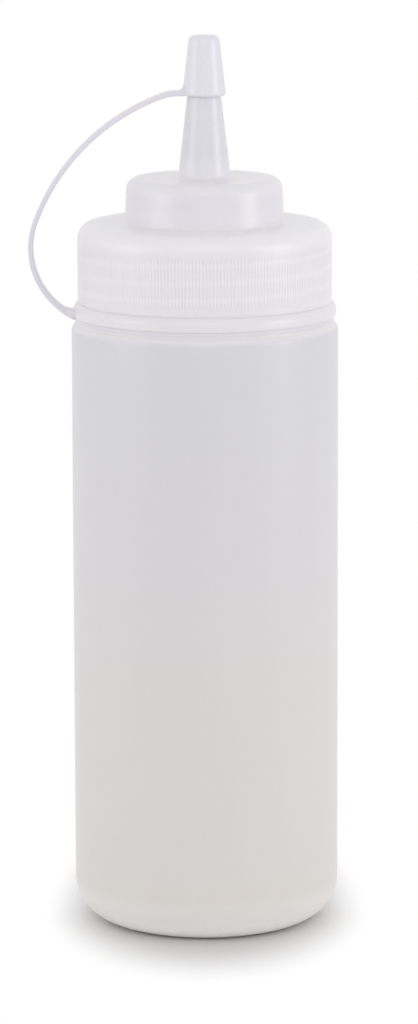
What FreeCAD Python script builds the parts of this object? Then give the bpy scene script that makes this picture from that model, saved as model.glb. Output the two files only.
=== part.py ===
"""Squeeze bottle for sauces: a hollow soft-walled bottle, a screw cap with a stepped tower and a
tapered spout, and a tip cap that hangs on the screw cap by a moulded strap and ring.

Millimetres, +Z up. The origin is on the bottle's axis, in the plane that the bottle stands on.
The strap loops out towards -X.
"""
import FreeCAD, Part
import math
import os

import Sketcher
from FreeCAD import Placement, Rotation, Vector

FULL_TURN = 360.0

# Driving dimensions, in millimetres and degrees. Every one can be changed by itself.
SIZES = {
    # bottle
    "body_radius": 35.0,
    "shoulder_height": 160.35,
    "shoulder_round": 2.2,
    "base_round": 11.3,
    "bottle_wall": 1.2,
    "foot_width": 3.5,
    "recess_depth": 1.6,
    "recess_slope": 3.2,
    "neck_step": 5.0,
    "neck_height": 24.45,
    # screw thread, the same for the neck and the cap
    "thread_pitch": 4.4,
    "thread_turns": 3.0,
    "thread_depth": 0.9,
    "thread_root": 2.0,
    "thread_crest": 1.0,
    "thread_play": 0.7,
    "thread_start": 4.3,
    "thread_sunk": 0.2,
    # screw cap
    "cap_wall": 1.7,
    "cap_lift": 0.45,
    "ledge_round": 4.0,
    "tower_radius": 20.3,
    "tower_height": 11.8,
    "tower_draft": 3.0,
    "tower_round": 3.0,
    "spout_base": 6.9,
    "spout_tip": 2.8,
    "spout_height": 35.2,
    "spout_wall": 1.1,
    "spout_flare": 0.8,
    # step at the foot of the skirt, which the ring sits on
    "rebate_depth": 0.7,
    "ring_play": 0.1,
    # ring, strap and tip cap, moulded in one; the ring is a bead over a thin flange
    "ring_height": 4.9,
    "bead_stand": 1.15,
    "crown_sweep": 61.0,
    "flange_stand": 0.6,
    "flange_height": 1.15,
    "tip_clear": 21.3,
    "tip_play": 0.08,
    "tip_wall": 1.25,
    "tip_end": 1.8,
    "tip_round": 1.4,
    "mouth_round": 0.8,
    "dimple_radius": 1.1,
    "dimple_depth": 0.35,
    "strap_width": 4.5,
    "strap_thickness": 1.3,
    "strap_root": 1.45,
    "strap_sunk": 0.7,
    "strap_lift": 0.4,
    "web_round": 1.5,
    "heel_round": 15.0,
    "lead_radius": 11.0,
    "lead_sweep": 20.0,
    "drop_sweep": 49.3,
    "foot_radius": 6.0,
    "foot_sweep": 39.0,
}


class Size:
    """A length that knows its number and the formula in the sheet's aliases that gives it."""

    def __init__(self, value, formula):
        self.value = value
        self.formula = formula

    def __add__(self, other):
        other = as_size(other)
        return Size(self.value + other.value, f"({self.formula} + {other.formula})")

    def __sub__(self, other):
        other = as_size(other)
        return Size(self.value - other.value, f"({self.formula} - {other.formula})")

    def __mul__(self, other):
        other = as_size(other)
        return Size(self.value * other.value, f"({self.formula} * {other.formula})")

    def __truediv__(self, other):
        other = as_size(other)
        return Size(self.value / other.value, f"({self.formula} / {other.formula})")


def as_size(number):
    """Wrap a plain number, so that it can stand in a formula."""
    return number if isinstance(number, Size) else Size(float(number), repr(float(number)))


def cosine(angle):
    """Cosine of a Size in degrees."""
    return Size(math.cos(math.radians(angle.value)), f"cos({angle.formula} * 1deg)")


def sine(angle):
    """Sine of a Size in degrees."""
    return Size(math.sin(math.radians(angle.value)), f"sin({angle.formula} * 1deg)")


def make_sheet(doc):
    """Write the driving dimensions to a spreadsheet, one row each, with an alias."""
    sheet = doc.addObject("Spreadsheet::Sheet", "Sizes")
    for row, (alias, value) in enumerate(SIZES.items(), start=1):
        sheet.set(f"A{row}", alias)
        sheet.set(f"B{row}", str(value))
        sheet.setAlias(f"B{row}", alias)
    doc.recompute()
    return sheet


def size(alias):
    """A driving dimension as a Size."""
    return Size(float(SIZES[alias]), f"Sizes.{alias}")


def plane(body, role):
    """One of the body's own origin planes."""
    return next(item for item in body.Origin.OriginFeatures if item.Role == role)


def new_sketch(body, name, role="XZ_Plane"):
    """A sketch of the body on one of its origin planes."""
    sketch = body.newObject("Sketcher::SketchObject", name)
    sketch.AttachmentSupport = (plane(body, role), [""])
    sketch.MapMode = "FlatFace"
    return sketch


def bind(sketch, kind, arguments, measure):
    """Add a dimension to the sketch and tie it to the sheet."""
    index = sketch.addConstraint(Sketcher.Constraint(kind, *arguments, measure.value))
    sketch.setExpression(f"Constraints[{index}]", measure.formula)


def pin(sketch, geometry, end, x, y):
    """Hold one end of a line or arc at the place (x, y), with both formulas in the sheet."""
    if abs(x.value) < 1e-9:
        sketch.addConstraint(Sketcher.Constraint("PointOnObject", geometry, end, -2))
    else:
        bind(sketch, "DistanceX", (-1, 1, geometry, end), x)
    if abs(y.value) < 1e-9:
        sketch.addConstraint(Sketcher.Constraint("PointOnObject", geometry, end, -1))
    else:
        bind(sketch, "DistanceY", (-1, 1, geometry, end), y)


def arc_between(start, end, radius, bulge):
    """The short arc from start to end; it bulges to the right of the way when bulge is +1."""
    chord = end - start
    half = chord.Length / 2
    height = math.sqrt(max(radius * radius - half * half, 0.0))
    right = Vector(chord.y, -chord.x, 0).normalize()
    middle = (start + end) / 2 - right * (bulge * (height - radius))
    return Part.Arc(start, middle, end)


def draw_loop(sketch, corners):
    """Draw a closed outline.

    Each corner is (x, y) for a straight side from the corner before it, or (x, y, radius, bulge)
    for an arc.
    """
    points = [Vector(corner[0].value, corner[1].value, 0) for corner in corners]
    for index, corner in enumerate(corners):
        start, end = points[index - 1], points[index]
        if len(corner) == 2:
            sketch.addGeometry(Part.LineSegment(start, end), False)
        else:
            sketch.addGeometry(arc_between(start, end, corner[2].value, corner[3]), False)
    for index, corner in enumerate(corners):
        last_end, first_end = ends_of(sketch, index, points[index])
        following = (index + 1) % len(corners)
        next_first = ends_of(sketch, following, points[index])[0]
        sketch.addConstraint(Sketcher.Constraint("Coincident", index, last_end, following, next_first))
        pin(sketch, index, last_end, corner[0], corner[1])
        if len(corner) == 4:
            bind(sketch, "Radius", (index,), corner[2])


def ends_of(sketch, index, place):
    """Number of the geometry's end that lies at the place, then of its other end."""
    at_start = (sketch.getPoint(index, 1) - place).Length
    at_end = (sketch.getPoint(index, 2) - place).Length
    return (1, 2) if at_start < at_end else (2, 1)


def revolve(body, name, sketch):
    """Turn the sketch all the way round the body's axis."""
    turned = body.newObject("PartDesign::Revolution", name)
    turned.Profile = sketch
    turned.ReferenceAxis = (sketch, ["V_Axis"])
    turned.Angle = FULL_TURN
    return turned


def levels():
    """Heights that more than one piece uses, from the ground up."""
    shoulder = size("shoulder_height")
    skirt_foot = shoulder + size("cap_lift")
    bead_bottom = skirt_foot + size("flange_height")
    ring_top = skirt_foot + size("ring_height")
    neck_top = shoulder + size("neck_height")
    ledge = neck_top + size("cap_wall")
    tower = ledge + size("tower_height")
    return {
        "shoulder": shoulder,
        "skirt_foot": skirt_foot,
        "bead_bottom": bead_bottom,
        "strap_low": bead_bottom + size("strap_lift"),
        "ring_top": ring_top,
        "rebate_top": ring_top + size("ring_play"),
        "neck_top": neck_top,
        "ledge": ledge,
        "tower": tower,
        "mouth": tower + size("tip_clear"),
        "spout_tip": tower + size("spout_height"),
        "tip_top": tower + size("spout_height") + size("tip_end"),
    }


def neck_radius():
    """Outer radius of the bottle's neck, without its thread."""
    return size("body_radius") - size("neck_step")


def cap_bore():
    """Inner radius of the cap's skirt: the neck, its thread and the play round it."""
    return neck_radius() + size("thread_depth") + size("thread_play")


def skirt_radius():
    """Outer radius of the cap's skirt."""
    return cap_bore() + size("cap_wall")


def bead_radius():
    """Outer radius of the ring's bead, which stands a little proud of the skirt."""
    return skirt_radius() + size("bead_stand")


def flange_radius():
    """Outer radius of the flange below the ring's bead."""
    return skirt_radius() + size("flange_stand")


def rebate_radius():
    """Outer radius of the skirt's foot, where the ring goes round it."""
    return skirt_radius() - size("rebate_depth")


def spout_radius(height):
    """Outer radius of the spout's cone at a height above the tower."""
    narrowing = (size("spout_base") - size("spout_tip")) / size("spout_height")
    return size("spout_base") - height * narrowing


def tip_outside(height):
    """Outer radius of the tip cap at a height above its mouth."""
    return spout_radius(size("tip_clear") + height) + size("tip_play") + size("tip_wall")


def add_thread(body, name, root_radius, outward, base):
    """Wind a tapered ridge round the axis, on the outside or on the inside of a wall.

    base is the height of the ridge's middle where it starts, and root_radius the wall it sits on.
    """
    sunk = size("thread_sunk")
    foot = root_radius - sunk if outward else root_radius + sunk
    crest = root_radius + size("thread_depth") if outward else root_radius - size("thread_depth")
    root_half = size("thread_root") / 2
    crest_half = size("thread_crest") / 2
    sketch = new_sketch(body, f"{name}_profile")
    draw_loop(sketch, [
        (foot, base - root_half),
        (crest, base - crest_half),
        (crest, base + crest_half),
        (foot, base + root_half),
    ])
    body.Document.recompute()
    thread = body.newObject("PartDesign::AdditiveHelix", name)
    thread.Profile = sketch
    thread.ReferenceAxis = (sketch, ["V_Axis"])
    thread.Mode = "pitch-turns-angle"
    thread.setExpression("Pitch", "Sizes.thread_pitch")
    thread.setExpression("Turns", "Sizes.thread_turns")
    thread.LeftHanded = False
    return thread


def make_bottle(doc):
    """Thin-walled bottle: straight body, round base corner with a recess, wide threaded neck."""
    body = doc.addObject("PartDesign::Body", "bottle")
    at = levels()
    zero = as_size(0.0)
    wall = size("bottle_wall")
    radius = size("body_radius")
    base_round = size("base_round")
    shoulder_round = size("shoulder_round")
    neck = neck_radius()
    foot = radius - base_round - size("foot_width")
    recess = foot - size("recess_slope")
    depth = size("recess_depth")
    floor = depth + wall
    sketch = new_sketch(body, "bottle_outline")
    draw_loop(sketch, [
        (zero, depth),
        (recess, depth),
        (foot, zero),
        (radius - base_round, zero),
        (radius, base_round, base_round, 1),
        (radius, at["shoulder"] - shoulder_round),
        (radius - shoulder_round, at["shoulder"], shoulder_round, 1),
        (neck, at["shoulder"]),
        (neck, at["neck_top"]),
        (neck - wall, at["neck_top"]),
        (neck - wall, at["shoulder"] - wall),
        (radius - shoulder_round, at["shoulder"] - wall),
        (radius - wall, at["shoulder"] - shoulder_round, shoulder_round - wall, -1),
        (radius - wall, base_round),
        (radius - base_round, wall, base_round - wall, -1),
        (foot, wall),
        (recess, floor),
        (zero, floor),
    ])
    revolve(body, "bottle_wall_turned", sketch)
    doc.recompute()
    add_thread(body, "neck_thread", neck, True, at["shoulder"] + size("thread_start"))
    return body


def make_screw_cap(doc):
    """Cap of one even wall: skirt with a stepped foot, rounded ledge, tower and open spout."""
    body = doc.addObject("PartDesign::Body", "screw_cap")
    at = levels()
    wall = size("cap_wall")
    skirt = skirt_radius()
    inside = cap_bore()
    rebate = rebate_radius()
    ledge_round = size("ledge_round")
    inner_ledge_round = inside - neck_radius()
    tower = size("tower_radius")
    draft = size("tower_draft")
    tower_round = size("tower_round")
    flare = size("spout_flare")
    spout_wall = size("spout_wall")
    tip = size("spout_tip")
    # The tower's corner ends where its arc meets the sloping side.
    corner_x = tower - tower_round + tower_round * cosine(draft)
    corner_z = at["tower"] - tower_round + tower_round * sine(draft)
    lean = sine(draft) / cosine(draft)
    tower_foot = corner_x + (corner_z - at["ledge"]) * lean
    inner_round = tower_round - wall
    inner_x = tower - tower_round + inner_round * cosine(draft)
    inner_z = at["tower"] - tower_round + inner_round * sine(draft)
    inner_foot = inner_x + (inner_z - at["neck_top"]) * lean
    bore_height = as_size(0.0) - wall
    sketch = new_sketch(body, "cap_outline")
    draw_loop(sketch, [
        (inside, at["skirt_foot"]),
        (rebate, at["skirt_foot"]),
        (rebate, at["rebate_top"]),
        (skirt, at["rebate_top"]),
        (skirt, at["ledge"] - ledge_round),
        (skirt - ledge_round, at["ledge"], ledge_round, 1),
        (tower_foot, at["ledge"]),
        (corner_x, corner_z),
        (tower - tower_round, at["tower"], tower_round, 1),
        (size("spout_base") + flare, at["tower"]),
        (spout_radius(flare), at["tower"] + flare),
        (tip, at["spout_tip"]),
        (tip - spout_wall, at["spout_tip"]),
        (spout_radius(bore_height) - spout_wall, at["tower"] - wall),
        (tower - tower_round, at["tower"] - wall),
        (inner_x, inner_z, inner_round, -1),
        (inner_foot, at["neck_top"]),
        (inside - inner_ledge_round, at["neck_top"]),
        (inside, at["neck_top"] - inner_ledge_round, inner_ledge_round, -1),
    ])
    revolve(body, "cap_wall_turned", sketch)
    doc.recompute()
    half_pitch = size("thread_pitch") / 2
    start = at["shoulder"] + size("thread_start") + half_pitch
    add_thread(body, "cap_thread", inside, False, start)
    return body


def turn(first, last):
    """Way travelled on a circle of radius 1 while the heading drops from first to last."""
    return Vector(math.sin(last) - math.sin(first), math.cos(last) - math.cos(first), 0)


def strap_route():
    """Middle line of the strap: the place where it leaves the tip cap's root, and its four arcs.

    The strap leaves the tip cap level, turns down through the lead, the drop, the bend and the
    foot, and comes back level to the ring. Each arc is its first heading, last heading and
    radius. The radii of the drop and the bend are those that join the two ends.
    """
    at = {name: level.value for name, level in levels().items()}
    half = SIZES["strap_thickness"] / 2
    lead = math.radians(SIZES["lead_sweep"])
    drop = lead + math.radians(SIZES["drop_sweep"])
    foot = math.pi - math.radians(SIZES["foot_sweep"])
    start = Vector(tip_outside(as_size(0.0)).value + SIZES["strap_root"], at["mouth"] + half, 0)
    end = Vector(bead_radius().value, at["strap_low"] + half, 0)
    after_lead = start + turn(0.0, lead) * SIZES["lead_radius"]
    before_foot = end - turn(foot, math.pi) * SIZES["foot_radius"]
    gap = before_foot - after_lead
    first, second = turn(lead, drop), turn(drop, foot)
    area = first.x * second.y - first.y * second.x
    drop_radius = (gap.x * second.y - gap.y * second.x) / area
    bend_radius = (first.x * gap.y - first.y * gap.x) / area
    arcs = (
        (0.0, lead, SIZES["lead_radius"]),
        (lead, drop, drop_radius),
        (drop, foot, bend_radius),
        (foot, math.pi, SIZES["foot_radius"]),
    )
    return start, arcs


def add_strap(body):
    """Sweep a flat band along a level start, four tangent arcs and a level end."""
    doc = body.Document
    at = levels()
    half = size("strap_thickness") / 2
    root_x = tip_outside(as_size(0.0))
    begin = (root_x - size("strap_sunk"), at["mouth"] + half)
    finish = (bead_radius() - size("strap_sunk"), at["strap_low"] + half)
    start, arcs = strap_route()
    path = new_sketch(body, "strap_path")
    path.addGeometry(Part.LineSegment(Vector(begin[0].value, start.y, 0), start), False)
    joints = [start]
    for first, last, radius in arcs:
        middle = joints[-1] + turn(first, (first + last) / 2) * radius
        beyond = joints[-1] + turn(first, last) * radius
        path.addGeometry(Part.Arc(joints[-1], middle, beyond), False)
        joints.append(beyond)
    path.addGeometry(Part.LineSegment(joints[-1], Vector(finish[0].value, joints[-1].y, 0)), False)
    last_line = len(joints)
    for index, place in enumerate(joints):
        this_end = ends_of(path, index, place)[0]
        next_end = ends_of(path, index + 1, place)[0]
        path.addConstraint(Sketcher.Constraint("Tangent", index, this_end, index + 1, next_end))
    path.addConstraint(Sketcher.Constraint("Horizontal", 0))
    path.addConstraint(Sketcher.Constraint("Horizontal", last_line))
    pin(path, 0, 1, *begin)
    pin(path, last_line, 2, *finish)
    bind(path, "DistanceX", (-1, 1, 0, 2), root_x + size("strap_root"))
    bind(path, "DistanceX", (-1, 1, last_line, 1), bead_radius())
    lead, drop, _, foot = range(1, last_line)
    bind(path, "Radius", (lead,), size("lead_radius"))
    bind(path, "Radius", (foot,), size("foot_radius"))
    for arc, alias in ((lead, "lead_sweep"), (drop, "drop_sweep"), (foot, "foot_sweep")):
        bind(path, "Angle", (arc,), Size(math.radians(SIZES[alias]), f"Sizes.{alias} * 1deg"))
    doc.recompute()
    section = new_sketch(body, "strap_section", "YZ_Plane")
    section.AttachmentOffset = Placement(Vector(0, 0, begin[0].value), Rotation())
    section.setExpression("AttachmentOffset.Base.z", begin[0].formula)
    low = at["mouth"]
    high = at["mouth"] + size("strap_thickness")
    right = size("strap_width") / 2
    left = as_size(0.0) - right
    draw_loop(section, [(right, low), (right, high), (left, high), (left, low)])
    doc.recompute()
    strap = body.newObject("PartDesign::AdditivePipe", "strap")
    strap.Profile = section
    strap.Spine = (path, [f"Edge{number}" for number in range(1, last_line + 2)])
    strap.Transition = "Transformed"
    return strap


def add_web(body):
    """Fill the corner between the strap's top and the tip cap's wall with a hollow round."""
    web_round = size("web_round")
    low = levels()["mouth"] + size("strap_thickness")
    wall = tip_outside(size("strap_thickness") + web_round)
    sketch = new_sketch(body, "web_outline")
    draw_loop(sketch, [
        (wall - size("strap_sunk"), low - size("strap_sunk")),
        (wall + web_round, low - size("strap_sunk")),
        (wall + web_round, low),
        (wall, low + web_round, web_round, -1),
        (wall - size("strap_sunk"), low + web_round),
    ])
    body.Document.recompute()
    web = body.newObject("PartDesign::Pad", "strap_web")
    web.Profile = sketch
    web.SideType = "Symmetric"
    web.setExpression("Length", "Sizes.strap_width")
    return web


def add_heel(body):
    """Thicken the strap's foot: its underside runs on to the flange below the bead."""
    at = levels()
    foot_radius = size("foot_radius")
    sweep = size("foot_sweep")
    half = size("strap_thickness") / 2
    middle = at["strap_low"] + half
    rise = foot_radius - foot_radius * cosine(sweep)
    bend_x = bead_radius() + foot_radius * sine(sweep)
    under_x = bend_x + half * sine(sweep)
    under_z = middle + rise - half * cosine(sweep)
    inner = flange_radius() - size("strap_sunk")
    sketch = new_sketch(body, "heel_outline")
    draw_loop(sketch, [
        (inner, at["skirt_foot"]),
        (flange_radius(), at["skirt_foot"]),
        (under_x, under_z, size("heel_round"), 1),
        (bend_x, middle + rise),
        (bead_radius(), middle),
        (inner, middle),
    ])
    body.Document.recompute()
    heel = body.newObject("PartDesign::Pad", "strap_heel")
    heel.Profile = sketch
    heel.SideType = "Symmetric"
    heel.setExpression("Length", "Sizes.strap_width")
    return heel


def make_ring(body):
    """Turn the ring: a bead with a round crown, over a thin flange."""
    at = levels()
    sweep = size("crown_sweep")
    inner = rebate_radius() + size("ring_play")
    stand = size("bead_stand")
    under_round = stand - size("flange_stand")
    crown_round = stand / (as_size(1.0) - cosine(sweep))
    sketch = new_sketch(body, "ring_section")
    draw_loop(sketch, [
        (inner, at["skirt_foot"]),
        (flange_radius(), at["skirt_foot"]),
        (flange_radius(), at["bead_bottom"]),
        (bead_radius(), at["bead_bottom"] + under_round, under_round, 1),
        (bead_radius(), at["ring_top"] - crown_round * sine(sweep)),
        (skirt_radius(), at["ring_top"], crown_round, 1),
        (inner, at["ring_top"]),
    ])
    revolve(body, "ring", sketch)


def make_tether_cap(doc):
    """Tip cap, strap and ring in one moulding; it is drawn towards +X and turned half round."""
    body = doc.addObject("PartDesign::Body", "tether_cap")
    at = levels()
    zero = as_size(0.0)
    mouth_round = size("mouth_round")
    tip_round = size("tip_round")
    play = size("tip_play")
    span = at["tip_top"] - at["mouth"]
    cup = new_sketch(body, "tip_outline")
    draw_loop(cup, [
        (spout_radius(size("tip_clear")) + play, at["mouth"]),
        (tip_outside(zero) - mouth_round, at["mouth"]),
        (tip_outside(mouth_round), at["mouth"] + mouth_round, mouth_round, 1),
        (tip_outside(span - tip_round), at["tip_top"] - tip_round),
        (tip_outside(span - tip_round) - tip_round, at["tip_top"], tip_round, 1),
        (size("dimple_radius"), at["tip_top"]),
        (zero, at["tip_top"] - size("dimple_depth")),
        (zero, at["spout_tip"]),
        (size("spout_tip") + play, at["spout_tip"]),
    ])
    revolve(body, "tip_cup", cup)
    doc.recompute()
    add_strap(body)
    doc.recompute()
    add_web(body)
    doc.recompute()
    add_heel(body)
    doc.recompute()
    make_ring(body)
    body.Placement = Placement(Vector(0, 0, 0), Rotation(Vector(0, 0, 1), FULL_TURN / 2))
    return body


def check(doc, bodies):
    """Stop if any object failed or a piece isn't one valid solid."""
    for item in doc.Objects:
        if "Invalid" in item.State or "Error" in item.State:
            raise RuntimeError(f"{item.Name} failed: {item.State}")
    for body in bodies:
        shape = body.Shape
        if shape.isNull() or not shape.isValid() or len(shape.Solids) != 1:
            raise RuntimeError(f"{body.Label} isn't one valid solid")
        box = shape.BoundBox
        print(f"{body.Label}: {shape.Volume:.1f} mm3, x {box.XMin:.2f} {box.XMax:.2f}, "
              f"y {box.YMin:.2f} {box.YMax:.2f}, z {box.ZMin:.2f} {box.ZMax:.2f}")


def main():
    """Build the document and write one STEP file for each piece."""
    doc = FreeCAD.newDocument("squeeze_bottle")
    make_sheet(doc)
    bodies = [make_bottle(doc), make_screw_cap(doc), make_tether_cap(doc)]
    doc.recompute()
    check(doc, bodies)
    os.makedirs("parts", exist_ok=True)
    for body in bodies:
        body.Shape.exportStep(f"parts/{body.Label}.step")


main()
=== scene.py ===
"""Looks of an empty squeeze bottle: soft milky bottle, ribbed screw cap and tethered tip cap.

The object's sizes are in millimetres and are turned to metres where a mesh is made; those of the
studio are in metres. Heights are above the plane that the bottle stands on, and the bottle's axis
is the Z axis.
"""

import logging
import math
from dataclasses import dataclass, field
from enum import Enum

import bmesh
import bpy
from mathutils import Matrix, Vector

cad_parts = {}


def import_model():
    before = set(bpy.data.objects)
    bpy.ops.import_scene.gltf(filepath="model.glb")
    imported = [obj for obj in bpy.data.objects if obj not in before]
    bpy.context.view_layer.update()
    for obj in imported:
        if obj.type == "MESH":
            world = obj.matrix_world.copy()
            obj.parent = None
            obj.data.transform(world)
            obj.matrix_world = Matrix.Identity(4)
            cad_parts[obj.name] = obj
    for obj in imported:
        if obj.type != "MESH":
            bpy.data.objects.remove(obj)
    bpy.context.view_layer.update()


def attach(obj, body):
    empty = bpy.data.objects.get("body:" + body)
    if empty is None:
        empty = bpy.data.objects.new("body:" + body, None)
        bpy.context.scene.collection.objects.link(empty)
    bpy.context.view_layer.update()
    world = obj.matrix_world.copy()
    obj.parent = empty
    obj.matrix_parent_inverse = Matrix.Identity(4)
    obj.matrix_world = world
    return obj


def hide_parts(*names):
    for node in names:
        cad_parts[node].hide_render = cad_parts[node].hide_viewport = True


LOG = logging.getLogger("squeeze_bottle")
MM = 0.001
BODY = "root"
FULL_TURN = 2 * math.pi
STRAIGHT = math.radians(179.0)
SHARP = math.radians(50.0)
ON_AXIS = 1e-6
# Rounds are divided by degrees, long sides of an outline by millimetres.
ARC_STEP, STRAP_STEP = 8.0, 3.0
WALL_STRETCH, CUP_STRETCH = 6.0, 2.0

Point = tuple[float, float]
Corner = tuple[float, float, float]
Display = tuple[int, int, int]
Tint = tuple[float, float, float, float]
Links = dict[str | int, object]
Piece = bpy.types.Object
Material = bpy.types.Material
Socket = bpy.types.NodeSocket
WHITE: Tint = (1.0, 1.0, 1.0, 1.0)


class Turning(Enum):
    """How finely a turned piece is divided round its axis."""

    FINE = 192
    SMALL = 96


# ---- outlines and meshes


def arc(middle: Vector, radius: float, start: float, sweep: float, count: int) -> list[Point]:
    """Divide an arc evenly.

    Args:
        middle: middle of its circle.
        radius: radius of its circle.
        start: angle where it starts, in radians.
        sweep: angle that it covers, in radians.
        count: number of stretches.

    Returns:
        The points, with both ends.
    """
    angles = [start + sweep * k / count for k in range(count + 1)]
    return [(middle.x + radius * math.cos(a), middle.y + radius * math.sin(a)) for a in angles]


def fillet(before: Point, corner: Point, after: Point, radius: float) -> list[Point]:
    """Round one corner of an outline.

    Args:
        before: the corner before this one.
        corner: the corner to round.
        after: the corner after this one.
        radius: radius of the round, in the outline's units.

    Returns:
        The points of the arc, or the corner alone if it stays sharp or straight.
    """
    here, back, ahead = Vector(corner), Vector(before), Vector(after)
    to_back, to_ahead = (back - here).normalized(), (ahead - here).normalized()
    opening = to_back.angle(to_ahead, math.pi)
    if radius <= 0.0 or opening > STRAIGHT:
        return [corner]
    reach = radius / math.tan(opening / 2)
    middle = here + (to_back + to_ahead).normalized() * (radius / math.sin(opening / 2))
    first, last = here + to_back * reach - middle, here + to_ahead * reach - middle
    start = math.atan2(first.y, first.x)
    sweep = math.remainder(math.atan2(last.y, last.x) - start, FULL_TURN)
    return arc(middle, radius, start, sweep, max(2, math.ceil(abs(math.degrees(sweep)) / ARC_STEP)))


def rounded(corners: list[Corner], closed: bool) -> list[Point]:
    """Round every corner of an outline by its own radius.

    Args:
        corners: each corner's radius from the axis, height, and radius of its round.
        closed: whether the last corner joins the first.

    Returns:
        The points of the finished outline.
    """
    points: list[Point] = []
    last = len(corners) - 1
    for index, (across, up, radius) in enumerate(corners):
        if not closed and index in (0, last):
            points.append((across, up))
            continue
        before = corners[index - 1][:2]
        after = corners[(index + 1) % len(corners)][:2]
        points.extend(fillet(before, (across, up), after, radius))
    return points


def divided(points: list[Point], longest: float, closed: bool) -> list[Point]:
    """Divide the long sides of an outline evenly.

    Args:
        points: the outline.
        longest: longest side to leave.
        closed: whether the last point joins the first.

    Returns:
        The outline with the extra points.
    """
    result: list[Point] = []
    pairs = zip(points, points[1:] + points[:1]) if closed else zip(points, points[1:])
    for (x0, y0), (x1, y1) in pairs:
        count = max(1, math.ceil(math.hypot(x1 - x0, y1 - y0) / longest))
        result.extend((x0 + (x1 - x0) * k / count, y0 + (y1 - y0) * k / count) for k in range(count))
    if not closed:
        result.append(points[-1])
    return result


def turned(name: str, points: list[Point], turning: Turning, closed: bool) -> Piece:
    """Turn an outline round the axis into a closed mesh.

    Args:
        name: name of the new object.
        points: outline in millimetres; on an open outline both ends lie on the axis.
        turning: how finely the circle is divided.
        closed: whether the outline is a loop clear of the axis.

    Returns:
        The object, at the origin.
    """
    mesh = bmesh.new()
    rings = []
    for across, up in points:
        if across < ON_AXIS:
            rings.append([mesh.verts.new((0.0, 0.0, up * MM))])
            continue
        angles = [FULL_TURN * k / turning.value for k in range(turning.value)]
        rings.append([
            mesh.verts.new((across * MM * math.cos(a), across * MM * math.sin(a), up * MM))
            for a in angles
        ])
    pairs = list(zip(rings, rings[1:]))
    if closed:
        pairs.append((rings[-1], rings[0]))
    for low, high in pairs:
        for k in range(turning.value):
            following = (k + 1) % turning.value
            corners = [low[k % len(low)], low[following % len(low)]]
            corners += [high[following % len(high)], high[k % len(high)]]
            mesh.faces.new(list(dict.fromkeys(corners)))
    bmesh.ops.recalc_face_normals(mesh, faces=mesh.faces)
    return finished(name, mesh)


def linked(name: str, data: bpy.types.ID) -> Piece:
    """New object in the scene, at the origin, that carries this data."""
    piece = bpy.data.objects.new(name, data)
    bpy.context.scene.collection.objects.link(piece)
    return piece


def shade(mesh: bpy.types.Mesh) -> None:
    """Shade a mesh smooth, apart from the edges that turn strongly."""
    mesh.shade_smooth()
    mesh.set_sharp_from_angle(angle=SHARP)


def finished(name: str, mesh: bmesh.types.BMesh) -> Piece:
    """Turn a bmesh into a shaded object and free it."""
    data = bpy.data.meshes.new(name)
    mesh.to_mesh(data)
    mesh.free()
    shade(data)
    return linked(name, data)


def coated(material: Material, *parts: Piece) -> list[Piece]:
    """The same parts, each with this material as its only one."""
    for part in parts:
        part.data.materials.append(material)
    return list(parts)


def joined(name: str, parts: list[Piece]) -> Piece:
    """Unite overlapping closed meshes into one closed mesh.

    Args:
        name: name of the result.
        parts: the pieces; all but the first are removed.

    Returns:
        The first piece, with the others united to it.
    """
    whole = parts[0]
    for part in parts[1:]:
        union = whole.modifiers.new("union", "BOOLEAN")
        union.operation = "UNION"
        union.solver = "EXACT"
        union.object = part
        apply_modifiers(whole)
        bpy.data.objects.remove(part)
    whole.name = name
    whole.data.name = name
    shade(whole.data)
    return whole


def lofted(name: str, loops: list[list[Corner]]) -> Piece:
    """Closed mesh through loops of equally many points, in millimetres, with flat ends."""
    mesh = bmesh.new()
    rings = [[mesh.verts.new([value * MM for value in point]) for point in loop] for loop in loops]
    for low, high in zip(rings, rings[1:]):
        for k in range(len(low)):
            following = (k + 1) % len(low)
            mesh.faces.new([low[k], low[following], high[following], high[k]])
    mesh.faces.new(rings[0])
    mesh.faces.new(rings[-1])
    bmesh.ops.recalc_face_normals(mesh, faces=mesh.faces)
    return finished(name, mesh)


def apply_modifiers(piece: Piece) -> None:
    """Replace the piece's mesh by what its modifiers make of it, and remove them."""
    graph = bpy.context.evaluated_depsgraph_get()
    graph.update()
    result = bpy.data.meshes.new_from_object(piece.evaluated_get(graph))
    piece.modifiers.clear()
    old = piece.data
    piece.data = result
    bpy.data.meshes.remove(old)


# ---- geometry nodes


class Tree:
    """A node tree that is filled with short calls."""

    def __init__(self, tree: bpy.types.NodeTree) -> None:
        """Take the tree to add to."""
        self.tree = tree

    def add(self, kind: str, links: Links | None = None, **settings: object) -> bpy.types.Node:
        """Add a node.

        Args:
            kind: the node's type.
            links: for each input, a node for its first output, an output, or a plain value.
            settings: properties of the node.

        Returns:
            The node.
        """
        node = self.tree.nodes.new(kind)
        for key, value in settings.items():
            setattr(node, key, value)
        for key, value in (links or {}).items():
            source = value.outputs[0] if isinstance(value, bpy.types.Node) else value
            if isinstance(source, Socket):
                self.tree.links.new(source, node.inputs[key])
            else:
                node.inputs[key].default_value = source
        return node

    def math(self, operation: str, *values: object) -> Socket:
        """Output of a Math node."""
        return self.add("ShaderNodeMath", dict(enumerate(values)), operation=operation).outputs[0]


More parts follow.
